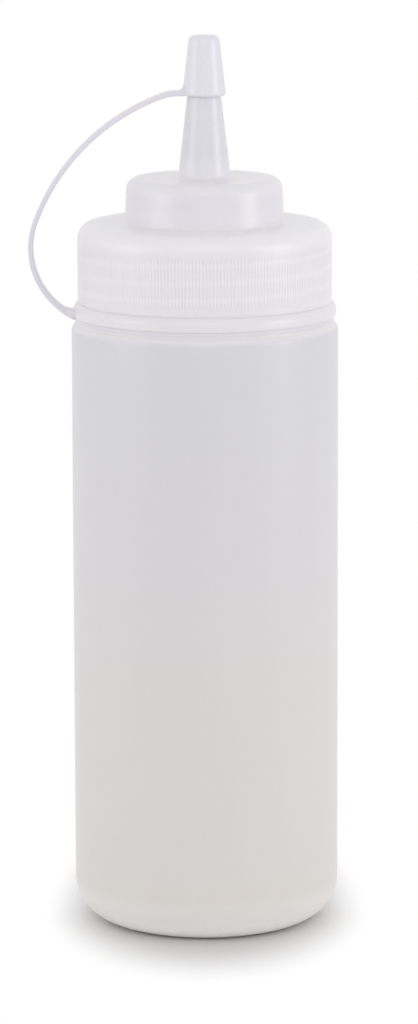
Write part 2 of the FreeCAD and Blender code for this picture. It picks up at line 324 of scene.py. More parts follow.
class Recipe(Tree):
    """A Geometry Nodes tree with named inputs, which ends in Realize Instances and Set Material."""

    def __init__(self, name: str, sizes: dict[str, float | int]) -> None:
        """Make an empty tree.

        Args:
            name: name of the tree.
            sizes: name and default of each input; whole numbers become integer inputs.
        """
        super().__init__(bpy.data.node_groups.new(name, "GeometryNodeTree"))
        faces = self.tree.interface
        faces.new_socket("Geometry", in_out="OUTPUT", socket_type="NodeSocketGeometry")
        self.sockets: dict[str, str] = {}
        for label, default in sizes.items():
            kind = "NodeSocketInt" if isinstance(default, int) else "NodeSocketFloat"
            socket = faces.new_socket(label, in_out="INPUT", socket_type=kind)
            socket.default_value = default
            self.sockets[label] = socket.identifier
        socket = faces.new_socket("Material", in_out="INPUT", socket_type="NodeSocketMaterial")
        self.sockets["Material"] = socket.identifier
        self.inputs = self.add("NodeGroupInput").outputs

    def swept(self, curve: bpy.types.Node, sides: int) -> bpy.types.Node:
        """Closed bar along a curve, round with this many sides and as thick as Half Width says."""
        profile = self.add("GeometryNodeCurvePrimitiveCircle", {
            "Resolution": sides, "Radius": self.inputs["Half Width"],
        })
        links = {"Curve": curve, "Profile Curve": profile, "Fill Caps": True}
        return self.add("GeometryNodeCurveToMesh", links)

    def end(self, geometry: bpy.types.Node) -> None:
        """Close the tree: realize what it made and give it its material."""
        real = self.add("GeometryNodeRealizeInstances", {"Geometry": geometry})
        smooth = self.add("GeometryNodeSetShadeSmooth", {"Geometry": real})
        links = {"Geometry": smooth, "Material": self.inputs["Material"]}
        self.add("NodeGroupOutput", {0: self.add("GeometryNodeSetMaterial", links)})

    def make(self, name: str, material: Material, **sizes: float | int) -> Piece:
        """Run the tree.

        Args:
            name: name of the new object.
            material: material of all that it makes.
            sizes: values of the named inputs, with underscores for spaces.

        Returns:
            A plain mesh object at the origin.
        """
        carrier = linked(name, bpy.data.meshes.new(name))
        nodes = carrier.modifiers.new(name, "NODES")
        nodes.node_group = self.tree
        for label, value in sizes.items():
            nodes[self.sockets[label.replace("_", " ")]] = value
        nodes[self.sockets["Material"]] = material
        apply_modifiers(carrier)
        return carrier


def rib_recipe() -> Recipe:
    """Tree for a ring of fine upright ribs, each a bar that sinks into the wall at its ends."""
    recipe = Recipe("rib_ring", {
        "Count": 12, "Radius": 0.03, "Bottom": 0.0, "Top": 0.01, "Half Width": 0.0002, "Flatness": 0.5,
    })
    stations, sides, evenness, thinning = 7, 8, 6.0, 0.9
    given = recipe.inputs
    low = recipe.add("ShaderNodeCombineXYZ", {2: given["Bottom"]})
    high = recipe.add("ShaderNodeCombineXYZ", {2: given["Top"]})
    line = recipe.add("GeometryNodeCurvePrimitiveLine", {"Start": low, "End": high})
    dense = recipe.add("GeometryNodeResampleCurve", {"Curve": line, "Count": stations})
    along = recipe.add("GeometryNodeSplineParameter").outputs["Factor"]
    centred = recipe.math("ABSOLUTE", recipe.math("MULTIPLY_ADD", along, 2.0, -1.0))
    thinner = recipe.math("MULTIPLY", recipe.math("POWER", centred, evenness), thinning)
    swell = recipe.math("SUBTRACT", 1.0, thinner)
    bar = recipe.swept(dense, sides)
    if "Scale" in bar.inputs:
        recipe.tree.links.new(swell, bar.inputs["Scale"])
    flat = recipe.add("ShaderNodeCombineXYZ", {0: given["Flatness"], 1: 1.0, 2: 1.0})
    pressed = recipe.add("GeometryNodeTransform", {"Geometry": bar, "Scale": flat})
    links = {"Vertices": given["Count"], "Radius": given["Radius"]}
    circle = recipe.add("GeometryNodeMeshCircle", links)
    index = recipe.add("GeometryNodeInputIndex").outputs[0]
    angle = recipe.math("MULTIPLY", recipe.math("DIVIDE", index, given["Count"]), FULL_TURN)
    facing = recipe.add("ShaderNodeCombineXYZ", {2: angle})
    ribs = recipe.add("GeometryNodeInstanceOnPoints", {
        "Points": circle, "Instance": pressed, "Rotation": facing,
    })
    recipe.end(ribs)
    return recipe


def thread_recipe() -> Recipe:
    """Tree for a round screw thread: a right-handed ridge that climbs the wall it is sunk in."""
    recipe = Recipe("screw_thread", {
        "Radius": 0.03, "Pitch": 0.004, "Turns": 3.0, "Start": 0.0, "Half Width": 0.001, "Steps": 64,
    })
    given = recipe.inputs
    climb = recipe.math("MULTIPLY", given["Pitch"], given["Turns"])
    spiral = recipe.add("GeometryNodeCurveSpiral", {
        "Resolution": given["Steps"], "Rotations": given["Turns"], "Start Radius": given["Radius"],
        "End Radius": given["Radius"], "Height": climb, "Reverse": False,
    })
    lift = recipe.add("ShaderNodeCombineXYZ", {2: given["Start"]})
    placed = recipe.add("GeometryNodeTransform", {"Geometry": spiral, "Translation": lift})
    recipe.end(recipe.swept(placed, sides=10))
    return recipe


# ---- finishes


class Shader(Tree):
    """A shader's node tree, of a material, the world or a shared group."""

    @classmethod
    def of(cls, owner: Material | bpy.types.World) -> "Shader":
        """Emptied tree of a material or a world."""
        owner.use_nodes = True
        owner.node_tree.nodes.clear()
        return cls(owner.node_tree)

    @classmethod
    def group(cls, name: str, given: tuple[str, ...], made: tuple[str, ...]) -> "Shader":
        """Tree of a new shared group, where Position and Normal are vectors and the rest numbers.

        Args:
            name: name of the group.
            given: names of its inputs.
            made: names of its outputs.

        Returns:
            The tree, with its sockets and no node.
        """
        tree = bpy.data.node_groups.new(name, "ShaderNodeTree")
        for way, labels in (("INPUT", given), ("OUTPUT", made)):
            for label in labels:
                kind = "Vector" if label in ("Position", "Normal") else "Float"
                tree.interface.new_socket(label, in_out=way, socket_type=f"NodeSocket{kind}")
        return cls(tree)

    def axes(self, place: Socket) -> dict[str, Socket]:
        """X, Y and Z of a vector."""
        return self.add("ShaderNodeSeparateXYZ", {0: place}).outputs

    def noise(self, place: object, scale: float, detail: float) -> Socket:
        """Value of a noise texture at a place."""
        links = {"Vector": place, "Scale": scale, "Detail": detail}
        return self.add("ShaderNodeTexNoise", links).outputs["Fac"]

    def spread(self, value: Socket, low: float, high: float, to_low: float, to_high: float) -> Socket:
        """Value moved from one range to another and held inside it."""
        links = {"Value": value, "From Min": low, "From Max": high, "To Min": to_low, "To Max": to_high}
        return self.add("ShaderNodeMapRange", links).outputs["Result"]

    def blend(self, factor: object, first: object, second: object) -> Socket:
        """Mix of two colours."""
        links = {0: factor, 6: first, 7: second}
        return self.add("ShaderNodeMix", links, data_type="RGBA").outputs[2]


def linear(display: Display) -> Tint:
    """Scene-linear colour of three display values from 0 to 255."""
    parts = [value / 255 for value in display]
    return tuple(p / 12.92 if p <= 0.04045 else ((p + 0.055) / 1.055) ** 2.4 for p in parts) + (1.0,)


def moulded_skin() -> bpy.types.NodeTree:
    """Shared group: cloudy tone, fine speckle, uneven gloss and skin relief of moulded polyethylene.

    Returns:
        A shader group from a position and five amounts to tone, roughness and normal.
    """
    cloud_scale, wave_scale, spot_scale, speckle_scale = 26.0, 90.0, 900.0, 1500.0
    cloud_gloss, speckle_gloss = 0.05, 0.03
    wave_share, relief_depth = 4.0, 0.00002
    spot_range, tallness = (0.62, 0.74), 0.35
    shader = Shader.group(
        "moulded_skin", ("Position", "Cloud", "Speckle", "Spots", "Roughness", "Relief"),
        ("Tone", "Roughness", "Normal"),
    )
    given = shader.add("NodeGroupInput").outputs
    place = given["Position"]
    tall = shader.add("ShaderNodeMapping", {"Vector": place, "Scale": (1.0, 1.0, tallness)})
    cloud = shader.math("SUBTRACT", shader.noise(tall, cloud_scale, 3.0), 0.5)
    speckle = shader.math("SUBTRACT", shader.noise(place, speckle_scale, 2.0), 0.5)
    dark = shader.spread(shader.noise(place, spot_scale, 3.0), *spot_range, 0.0, 1.0)
    tone = shader.math("MULTIPLY", cloud, given["Cloud"])
    tone = shader.math("MULTIPLY_ADD", speckle, given["Speckle"], tone)
    tone = shader.math("SUBTRACT", tone, shader.math("MULTIPLY", dark, given["Spots"]))
    rough = shader.math("MULTIPLY_ADD", cloud, cloud_gloss, given["Roughness"])
    rough = shader.math("MULTIPLY_ADD", speckle, speckle_gloss, rough)
    height = shader.math("MULTIPLY_ADD", shader.noise(tall, wave_scale, 2.0), wave_share, speckle)
    bump = shader.add("ShaderNodeBump", {
        "Strength": given["Relief"], "Distance": relief_depth, "Height": height,
    })
    shader.add("NodeGroupOutput", {"Tone": tone, "Roughness": rough, "Normal": bump})
    return shader.tree


def thread_glow() -> bpy.types.NodeTree:
    """Shared group: where a screw thread behind a thin milky wall makes it look thicker and paler.

    Returns:
        A shader group from a position and the thread's sizes to a mask from 0 to 1.
    """
    shader = Shader.group(
        "thread_glow", ("Position", "Pitch", "Start", "Rise", "Half Width"), ("Mask",)
    )
    given = shader.add("NodeGroupInput").outputs
    axes = shader.axes(given["Position"])
    angle = shader.math("ARCTAN2", axes["Y"], axes["X"])
    share = shader.math("WRAP", shader.math("DIVIDE", angle, FULL_TURN), 1.0, 0.0)
    climb = shader.math("MULTIPLY_ADD", share, given["Pitch"], given["Start"])
    above = shader.math("SUBTRACT", axes["Z"], climb)
    half = shader.math("MULTIPLY", given["Pitch"], 0.5)
    least = shader.math("MULTIPLY", half, -1.0)
    offset = shader.math("WRAP", above, half, least)
    near = shader.math("DIVIDE", shader.math("ABSOLUTE", offset), given["Half Width"])
    ridge = shader.math("MAXIMUM", shader.math("SUBTRACT", 1.0, near), 0.0)
    started = shader.math("GREATER_THAN", above, least)
    beyond = shader.math("SUBTRACT", given["Rise"], half)
    stopped = shader.math("LESS_THAN", above, beyond)
    mask = shader.math("MULTIPLY", shader.math("MULTIPLY", started, stopped), ridge)
    shader.add("NodeGroupOutput", {"Mask": mask})
    return shader.tree


@dataclass(frozen=True)
class ThreadShow:
    """The screw thread that shows through a wall, in metres, and how much paler it makes it."""

    pitch: float
    start: float
    rise: float
    half_width: float
    strength: float


@dataclass(frozen=True)
class StrapShow:
    """Where the thin strap lies, in metres, and its tint.

    The tint begins beyond the radius of the ring low down, and beyond that of the cup higher up.
    """

    tint: Display
    ring_top: float
    ring: float
    cup: float
    rise: float = 0.003
    fade: float = 0.0015

    def mask(self, shader: Shader, axes: dict[str, Socket]) -> Socket:
        """1 beyond the ring low down and beyond the tip cap higher up.

        Args:
            shader: the tree to add to.
            axes: coordinates of the place.

        Returns:
            The mask.
        """
        across = shader.math("MULTIPLY", axes["X"], axes["X"])
        around = shader.math("MULTIPLY_ADD", axes["Y"], axes["Y"], across)
        low = self.ring_top
        inner = shader.spread(axes["Z"], low, low + self.rise, self.ring, self.cup)
        beyond = shader.math("SUBTRACT", shader.math("SQRT", around), inner)
        return shader.spread(beyond, 0.0, self.fade, 0.0, 1.0)


@dataclass(frozen=True)
class MilkyPlastic:
    """Milky soft polyethylene: tints by height in millimetres, some of which are painted light, and the
    grain of its skin.

    Spots lie only where the surface faces up, between the two values of upward.
    """

    name: str
    tints: tuple[tuple[float, Display], ...]
    cloud: float = 0.05
    speckle: float = 0.05
    spots: float = 0.0
    roughness: float = 0.33
    relief: float = 0.35
    specular: float = 0.7
    refraction: float = 1.51
    depth: float = 0.35
    depth_scale: float = 0.002
    upward: Point = (0.8, 0.97)
    thread: ThreadShow | None = None
    strap: StrapShow | None = None

    def build(self, skin: bpy.types.NodeTree, glow: bpy.types.NodeTree) -> Material:
        """Make the material.

        Args:
            skin: the shared group of the moulded skin.
            glow: the shared group of a thread that shows through.

        Returns:
            The material.
        """
        material = bpy.data.materials.new(self.name)
        shader = Shader.of(material)
        coordinates = shader.add("ShaderNodeTexCoord").outputs
        place = coordinates["Object"]
        axes = shader.axes(place)
        colour = linear(self.tints[0][1])
        for (low, _), (high, tint) in zip(self.tints, self.tints[1:]):
            share = shader.spread(axes["Z"], low * MM, high * MM, 0.0, 1.0)
            colour = shader.blend(share, colour, linear(tint))
        if self.strap:
            colour = shader.blend(self.strap.mask(shader, axes), colour, linear(self.strap.tint))
        spots: object = 0.0
        if self.spots:
            facing = shader.axes(coordinates["Normal"])["Z"]
            spots = shader.spread(facing, *self.upward, 0.0, self.spots)
        grain = shader.add("ShaderNodeGroup", {
            "Position": place, "Cloud": self.cloud, "Speckle": self.speckle, "Spots": spots,
            "Roughness": self.roughness, "Relief": self.relief,
        }, node_tree=skin)
        tone = shader.math("ADD", grain.outputs["Tone"], 1.0)
        if self.thread:
            shown = shader.add("ShaderNodeGroup", {
                "Position": place, "Pitch": self.thread.pitch, "Start": self.thread.start,
                "Rise": self.thread.rise, "Half Width": self.thread.half_width,
            }, node_tree=glow)
            strength = self.thread.strength
            tone = shader.math("MULTIPLY_ADD", shown.outputs["Mask"], strength, tone)
        toned = shader.add("ShaderNodeVectorMath", {0: colour, 1: tone}, operation="MULTIPLY")
        plastic = shader.add("ShaderNodeBsdfPrincipled", {
            "Base Color": toned,
            "Roughness": grain.outputs["Roughness"],
            "Normal": grain.outputs["Normal"],
            "Specular IOR Level": self.specular,
            "IOR": self.refraction,
            "Subsurface Weight": self.depth,
            "Subsurface Radius": (1.0, 1.0, 1.0),
            "Subsurface Scale": self.depth_scale,
        })
        shader.add("ShaderNodeOutputMaterial", {0: plastic})
        return material


# ---- the object


@dataclass
class Thread:
    """Screw thread that the neck and the cap share, in millimetres.

    Its start is above the shoulder, and its middle line stands a little off the wall.
    """

    pitch: float = 4.4
    turns: float = 3.0
    start: float = 4.3
    half_width: float = 0.9
    stand: float = 0.1

    def wind(self, name: str, material: Material, recipe: Recipe, radius: float, start: float) -> Piece:
        """Wind the thread.

        Args:
            name: name of the new object.
            material: its plastic.
            recipe: the tree that winds a thread.
            radius: radius of its middle line.
            start: height where it starts.

        Returns:
            The closed ridge.
        """
        return recipe.make(
            name, material, Radius=radius * MM, Pitch=self.pitch * MM, Turns=self.turns,
            Start=start * MM, Half_Width=self.half_width * MM,
        )


@dataclass
class Bottle:
    """Thin soft bottle: straight body, round base corner, recess below, wide threaded neck."""

    radius: float = 35.0
    shoulder: float = 160.35
    shoulder_round: float = 2.2
    base_round: float = 11.3
    wall: float = 1.2
    foot_width: float = 3.5
    recess_depth: float = 1.6
    recess_slope: float = 3.2
    neck_step: float = 5.0
    neck_height: float = 24.45
    stop_radius: float = 33.88
    stop_height: float = 0.45
    stop_inset: float = 1.5
    thread: Thread = field(default_factory=Thread)

    @property
    def neck(self) -> float:
        """Outer radius of the neck."""
        return self.radius - self.neck_step

    @property
    def neck_top(self) -> float:
        """Height of the neck's rim."""
        return self.shoulder + self.neck_height

    def outline(self) -> list[Point]:
        """Outline of the wall from the axis below the base to the axis inside it."""
        foot = self.radius - self.base_round - self.foot_width
        recess = foot - self.recess_slope
        floor = self.recess_depth + self.wall
        inner = self.radius - self.wall
        bore = self.neck - self.wall
        corners = [
            (0.0, self.recess_depth, 0.0),
            (recess, self.recess_depth, 2.0),
            (foot, 0.0, 1.2),
            (self.radius, 0.0, self.base_round),
            (self.radius, self.shoulder, self.shoulder_round),
            (self.neck, self.shoulder, 0.6),
            (self.neck, self.neck_top, 0.4),
            (bore, self.neck_top, 0.4),
            (bore, self.shoulder - self.wall, 0.8),
            (inner, self.shoulder - self.wall, self.shoulder_round - self.wall),
            (inner, self.wall, self.base_round - self.wall),
            (foot, self.wall, 1.2),
            (recess, floor, 2.0),
            (0.0, floor, 0.0),
        ]
        return divided(rounded(corners, closed=False), WALL_STRETCH, closed=False)

    def stop(self) -> Piece:
        """Low step on the shoulder that the cap comes down to."""
        inner, outer = self.neck + self.stop_inset, self.stop_radius
        low, top = self.shoulder - self.wall / 2, self.shoulder + self.stop_height
        corners = [(inner, low, 0.0), (outer, low, 0.0), (outer, top, 0.0), (inner, top, 0.1)]
        return turned("shoulder_stop", rounded(corners, closed=True), Turning.FINE, closed=True)

    def pinch_line(self) -> Piece:
        """Low seam across the recess, where the mould closed on the blown tube."""
        half_length, half_width, proud = 13.0, 0.35, 0.5
        mesh = bmesh.new()
        bmesh.ops.create_uvsphere(mesh, u_segments=24, v_segments=12, radius=1.0)
        scale = Matrix.Diagonal((half_length * MM, half_width * MM, proud * MM, 1.0))
        place = Matrix.Translation((0.0, 0.0, self.recess_depth * MM))
        bmesh.ops.transform(mesh, matrix=place @ scale, verts=mesh.verts)
        return finished("pinch_line", mesh)

    def build(self, material: Material, threads: Recipe) -> Piece:
        """Make the bottle.

        Args:
            material: its plastic.
            threads: the tree that winds a thread.

        Returns:
            One piece with the neck's thread on it.
        """
        shell = turned("bottle_shell", self.outline(), Turning.FINE, closed=False)
        parts = coated(material, shell, self.pinch_line(), self.stop())
        radius, start = self.neck + self.thread.stand, self.shoulder + self.thread.start
        ridge = self.thread.wind("neck_thread", material, threads, radius, start)
        return joined("bottle_shell", parts + [ridge])


@dataclass
class ScrewCap:
    """Screw cap: ribbed skirt with a stepped foot, rounded ledge, tower and open spout."""

    bottle: Bottle
    wall: float = 1.7
    thread_room: float = 1.6
    lift: float = 0.45
    rebate_depth: float = 0.7
    ring_height: float = 4.9
    ring_play: float = 0.1
    ledge_round: float = 4.0
    tower_radius: float = 20.3
    tower_height: float = 11.8
    tower_draft: float = 3.0
    tower_round: float = 3.0
    spout_base: float = 6.9
    spout_tip: float = 2.8
    spout_height: float = 35.2
    spout_wall: float = 1.1
    spout_flare: float = 1.1
    rib_count: int = 232
    rib_half_width: float = 0.40
    rib_flatness: float = 0.2
    rib_sunk: float = 0.04
    rib_low: float = 0.1
    rib_high: float = 0.4

    @property
    def bore(self) -> float:
        """Inner radius of the skirt."""
        return self.bottle.neck + self.thread_room

    @property
    def skirt(self) -> float:
        """Outer radius of the skirt."""
        return self.bore + self.wall

    @property
    def foot(self) -> float:
        """Height of the skirt's lower edge, and of the ring's underside."""
        return self.bottle.shoulder + self.lift

    @property
    def ring_top(self) -> float:
        """Height of the ring's upper edge."""
        return self.foot + self.ring_height

    @property
    def ledge(self) -> float:
        """Height of the ledge's top."""
        return self.bottle.neck_top + self.wall

    @property
    def tower(self) -> float:
        """Height of the tower's top."""
        return self.ledge + self.tower_height

    @property
    def spout_end(self) -> float:
        """Height of the spout's tip."""
        return self.tower + self.spout_height

    def spout_radius(self, above: float) -> float:
        """Outer radius of the spout at a height above the tower."""
        return self.spout_base + (self.spout_tip - self.spout_base) * above / self.spout_height

    def outline(self) -> list[Point]:
        """Outline of the cap's wall, as a loop clear of the axis."""
        lean = math.tan(math.radians(self.tower_draft))
        rebate = self.skirt - self.rebate_depth
        rebate_top = self.ring_top - self.ring_play / 4
        foot = self.tower_radius + self.tower_height * lean
        inner_top = self.tower_radius - self.wall
        inner_foot = inner_top + self.tower_height * lean
        spout_foot = self.spout_radius(-self.wall) - self.spout_wall
        corners = [
            (self.bore, self.foot, 0.3),
            (rebate, self.foot, 0.2),
            (rebate, rebate_top, 0.1),
            (self.skirt, rebate_top, 0.02),
            (self.skirt, self.ledge, self.ledge_round),
            (foot, self.ledge, 0.7),
            (self.tower_radius, self.tower, self.tower_round),
            (self.spout_radius(0.0), self.tower, self.spout_flare),
            (self.spout_tip, self.spout_end, 0.2),
            (self.spout_tip - self.spout_wall, self.spout_end, 0.2),
            (spout_foot, self.tower - self.wall, 1.0),
            (inner_top, self.tower - self.wall, self.tower_round - self.wall),
            (inner_foot, self.bottle.neck_top, 0.5),
            (self.bore, self.bottle.neck_top, self.thread_room - 0.1),
        ]
        return divided(rounded(corners, closed=True), WALL_STRETCH, closed=True)

    def build(self, material: Material, grip_material: Material,
              threads: Recipe, ribs: Recipe) -> list[Piece]:
        """Make the cap.

        Args:
            material: its plastic.
            grip_material: the plastic of the fine ribs.
            threads: the tree that winds a thread.
            ribs: the tree that sets the ring of ribs.

        Returns:
            The cap with its inner thread, and the ribs of its skirt.
        """
        shell = turned("cap_shell", self.outline(), Turning.FINE, closed=True)
        thread = self.bottle.thread
        radius = self.bore - thread.stand
        start = self.bottle.shoulder + thread.start + thread.pitch / 2
        ridge = thread.wind("cap_thread", material, threads, radius, start)
        cap = joined("cap_shell", coated(material, shell) + [ridge])
        bottom, top = self.ring_top + self.rib_low, self.ledge - self.ledge_round + self.rib_high
        grip = ribs.make(
            "skirt_ribs", grip_material, Count=self.rib_count,
            Radius=(self.skirt - self.rib_sunk) * MM, Bottom=bottom * MM, Top=top * MM,
            Half_Width=self.rib_half_width * MM, Flatness=self.rib_flatness,
        )
        return [cap, grip]


@dataclass
class TetherCap:
    """Tip cap, strap and ring in one moulding, with the strap looping out to -X."""

    cap: ScrewCap
    clear: float = 21.3
    play: float = 0.08
    wall: float = 1.25
    end: float = 1.8
    tip_round: float = 1.4
    mouth_round: float = 0.8
    dimple_radius: float = 1.1
    dimple_flat: float = 0.45
    dimple_depth: float = 0.35
    bead_stand: float = 1.15
    bead_slope: float = 0.1
    crown_sweep: float = 61.0
    crown_parts: int = 8
    flange_stand: float = 0.6
    flange_height: float = 1.15
    strap_width: float = 4.5
    strap_thickness: float = 1.3
    strap_round: float = 0.35
    strap_root: float = 1.45
    strap_sunk: float = 0.7
    strap_lift: float = 0.4
    web_round: float = 1.5
    web_parts: int = 8
    web_sunk: float = 0.01
    heel_round: float = 15.0
    heel_parts: int = 10
    heel_sunk: float = 0.02
    heel_lift: float = 0.05
    plate_inset: float = 0.05
    lead: tuple[float, float] = (11.0, 20.0)
    drop_sweep: float = 49.3
    foot: tuple[float, float] = (6.0, 39.0)

    @property
    def bead(self) -> float:
        """Outer radius of the ring's bead."""
        return self.cap.skirt + self.bead_stand

    @property
    def flange(self) -> float:
        """Outer radius of the flange below the bead."""
        return self.cap.skirt + self.flange_stand

    @property
    def strap_middle(self) -> float:
        """Height of the strap's middle line where it meets the ring."""
        return self.cap.foot + self.flange_height + self.strap_lift + self.strap_thickness / 2

    @property
    def mouth(self) -> float:
        """Height of the tip cap's mouth."""
        return self.cap.tower + self.clear

    def outside(self, above: float) -> float:
        """Outer radius of the tip cap at a height above its mouth."""
        return self.cap.spout_radius(self.clear + above) + self.play + self.wall

    def cup(self) -> Piece:
        """The tip cap: a cone with a rounded top, a gate dimple and a bore that fits the spout."""
        top = self.cap.spout_end + self.end
        span = top - self.mouth
        corners = [
            (0.0, top - self.dimple_depth, 0.0),
            (self.dimple_radius * self.dimple_flat, top - self.dimple_depth, 0.3),
            (self.dimple_radius, top, 0.2),
            (self.outside(span), top, self.tip_round),
            (self.outside(0.0), self.mouth, self.mouth_round),
            (self.outside(0.0) - self.wall, self.mouth, 0.25),
            (self.cap.spout_tip + self.play, self.cap.spout_end, 0.15),
            (0.0, self.cap.spout_end, 0.0),
        ]
        points = divided(rounded(corners, closed=False), CUP_STRETCH, closed=False)
        return turned("tip_cup", points, Turning.SMALL, closed=False)

    def ring(self) -> Piece:
        """The ring round the skirt's foot: a bead with a round crown, over a thin flange."""
        low, high = self.cap.foot, self.cap.ring_top
        inner = self.cap.skirt - self.cap.rebate_depth + self.cap.ring_play
        bead_low = low + self.flange_height
        under = self.bead - self.flange
        sweep = math.radians(self.crown_sweep)
        crown = self.bead_stand / (1 - math.cos(sweep))
        shoulder = high - crown * math.sin(sweep)
        outline = rounded([
            (self.cap.skirt, high, 0.0),
            (inner, high, 0.1),
            (inner, low, 0.1),
            (self.flange, low, 0.0),
            (self.flange, bead_low, 0.15),
            (self.bead, bead_low + self.bead_slope, under),
            (self.bead, shoulder, 0.0),
        ], closed=False)
        middle = self.bead - crown
        steps = [sweep * k / self.crown_parts for k in range(1, self.crown_parts)]
        outline += [(middle + crown * math.cos(a), shoulder + crown * math.sin(a)) for a in steps]
        return turned("tether_ring", outline, Turning.FINE, closed=True)

    def route(self) -> list[Point]:
        """Middle line of the strap as (distance from the axis, height), from tip cap to ring.

        Returns:
            Points along a level start, four tangent arcs and a level end.
        """
        half = self.strap_thickness / 2
        lead_radius, lead_sweep = self.lead
        foot_radius, foot_sweep = self.foot
        lead = math.radians(lead_sweep)
        drop = lead + math.radians(self.drop_sweep)
        foot = math.pi - math.radians(foot_sweep)
        start = Vector((self.outside(0.0) + self.strap_root, self.mouth + half))
        end = Vector((self.bead, self.strap_middle))
        gap = end - travel(foot, math.pi) * foot_radius - start - travel(0.0, lead) * lead_radius
        first, second = travel(lead, drop), travel(drop, foot)
        area = first.cross(second)
        radii = (lead_radius, gap.cross(second) / area, first.cross(gap) / area, foot_radius)
        headings = (0.0, lead, drop, foot, math.pi)
        points = [(self.outside(0.0) - self.strap_sunk, start.y)]
        place = start
        for begin, finish, radius in zip(headings, headings[1:], radii):
            count = max(4, math.ceil(math.degrees(finish - begin) / STRAP_STEP))
            points.append(tuple(place))
            for k in range(1, count):
                heading = begin + (finish - begin) * k / count
                points.append(tuple(place + travel(begin, heading) * radius))
            place = place + travel(begin, finish) * radius
        points.append(tuple(place))
        points.append((self.bead - self.strap_sunk, place.y))
        return points

    def strap(self) -> Piece:
        """The flat band, swept along its route with rounded edges."""
        wide, thick, soft = self.strap_width / 2, self.strap_thickness / 2, self.strap_round
        section = rounded([
            (-wide, -thick, soft), (wide, -thick, soft), (wide, thick, soft), (-wide, thick, soft),
        ], closed=True)
        places = [Vector(point) for point in self.route()]
        loops = []
        for index, place in enumerate(places):
            before = places[max(index - 1, 0)]
            after = places[min(index + 1, len(places) - 1)]
            way = (after - before).normalized()
            up = Vector((-way.y, way.x))
            loops.append([
                (-(place.x + up.x * high), side, place.y + up.y * high) for side, high in section
            ])
        return lofted("strap", loops)

    def web(self) -> Piece:
        """Hollow round between the strap's top and the tip cap's wall."""
        low, reach, sunk = self.mouth + self.strap_thickness, self.web_round, self.strap_sunk
        wall = self.outside(self.strap_thickness + reach)
        outer = wall + reach
        edge = [(wall - sunk, low - sunk), (outer, low - sunk), (outer, low - self.web_sunk)]
        for k in range(1, self.web_parts + 1):
            angle = math.radians(90.0 * k / self.web_parts)
            edge.append((outer - reach * math.sin(angle), low + reach - reach * math.cos(angle)))
        edge.append((wall - sunk, low + reach))
        return self.plate("strap_web", edge)

    def heel(self) -> Piece:
        """Thicker foot of the strap, whose underside runs on to the ring's flange."""
        radius, sweep = self.foot[0], math.radians(self.foot[1])
        half = self.strap_thickness / 2 - self.heel_sunk
        rise = radius * (1 - math.cos(sweep))
        bend = Vector((self.bead + radius * math.sin(sweep), self.strap_middle + rise))
        under = bend + Vector((math.sin(sweep), -math.cos(sweep))) * half
        low = Vector((self.flange, self.cap.foot + self.heel_lift))
        inner = self.flange - self.strap_sunk
        edge = [(inner, self.strap_middle), (inner, low.y)]
        edge += bowed(low, under, self.heel_round, self.heel_parts)
        edge += [tuple(bend), (self.bead, self.strap_middle)]
        return self.plate("strap_heel", edge)

    def plate(self, name: str, edge: list[Point]) -> Piece:
        """Flat plate in the strap's plane, a little narrower than the strap.

        Args:
            name: name of the new object.
            edge: outline as (distance from the axis, height).

        Returns:
            The closed plate.
        """
        half = self.strap_width / 2 - self.plate_inset
        return lofted(name, [[(-x, y, z) for x, z in edge] for y in (-half, half)])

    def build(self, material: Material) -> Piece:
        """Make the moulding.

        Args:
            material: its plastic.

        Returns:
            One piece.
        """
        parts = [self.cup(), self.strap(), self.web(), self.heel(), self.ring()]
        return joined("tether_moulding", coated(material, *parts))


def travel(first: float, last: float) -> Vector:
    """Way travelled on a circle of radius 1 while the heading drops from first to last."""
    return Vector((math.sin(last) - math.sin(first), math.cos(last) - math.cos(first)))


def bowed(first: Vector, last: Vector, radius: float, count: int) -> list[Point]:
    """Points of the short arc between two places that bows to the right of the way.

    Args:
        first: where the arc begins.
        last: where it ends.
        radius: radius of the arc.
        count: number of stretches.

    Returns:
        The points, with both ends.
    """
    chord = last - first
    height = math.sqrt(radius**2 - (chord.length / 2) ** 2)
    middle = (first + last) / 2 + Vector((-chord.y, chord.x)).normalized() * height
    begin = first - middle
    start = math.atan2(begin.y, begin.x)
    sweep = 2 * math.asin(chord.length / 2 / radius)
    return arc(middle, radius, start, sweep, count)


# ---- studio


@dataclass(frozen=True)
class Softbox:
    """Soft rectangular lamp that faces the bottle, with lengths in metres.

    Its azimuth is in degrees round from the camera's side towards +X, and its power in watts.
    """

    name: str
    azimuth: float
    height: float
    away: float
    size: Point
    power: float


